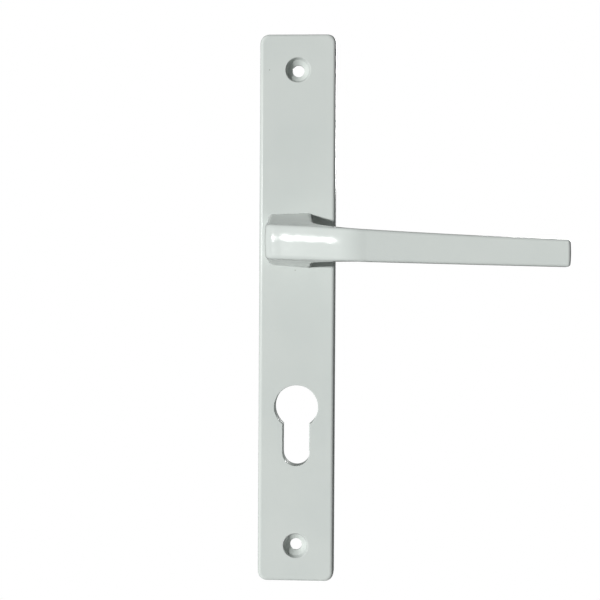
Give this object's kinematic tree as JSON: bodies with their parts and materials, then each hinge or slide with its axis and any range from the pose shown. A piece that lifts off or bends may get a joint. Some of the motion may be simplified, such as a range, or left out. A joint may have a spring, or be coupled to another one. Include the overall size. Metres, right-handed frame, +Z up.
{
  "type": "lever handle on backplate",
  "caption": "Sprung door lever on a long narrow backplate with an empty euro-profile cylinder cut-out and a square spindle.",
  "frame": {"origin": "on the lever's turning axis, at the door's face (the plane of the plate's back)", "axes": "+Z up along the long plate, -Y straight out from the door towards the user, +X along the grip from the neck to the tip"},
  "size_m": [0.1246, 0.1199, 0.23],
  "materials": {
    "painted_casting": "smooth satin stoved paint on zinc die-casting",
    "white_nylon": "natural moulded nylon",
    "zinc_plated_steel": "pressed sheet, bright zinc plated",
    "spring_steel": "oiled spring steel, drawn or rolled",
    "blackened_steel": "phosphated and oiled spring steel",
    "screw_steel": "zinc plated screws",
    "bright_steel": "cold-drawn square bar, zinc plated"
  },
  "bodies": {
    "plate": {"backplate": "painted_casting", "lever_bush": "white_nylon", "mechanism_cover": "zinc_plated_steel", "cover_screws": "screw_steel", "return_spring": "spring_steel"},
    "lever": {"lever_handle": "painted_casting", "cam_plate": "zinc_plated_steel", "thrust_washer": "white_nylon", "wave_washer": "spring_steel", "retaining_ring": "blackened_steel", "spindle": "bright_steel"}
  },
  "joints": [
    {"name": "lever_turn", "type": "hinge", "parent": "plate", "child": "lever", "pos_m": [0, 0, 0], "axis": [0, 1, 0], "range_deg": [0, 45], "stiffness_Nm_per_rad": 0.8, "springref_deg": -20.05, "deforming": ["return_spring"]}
  ]
}
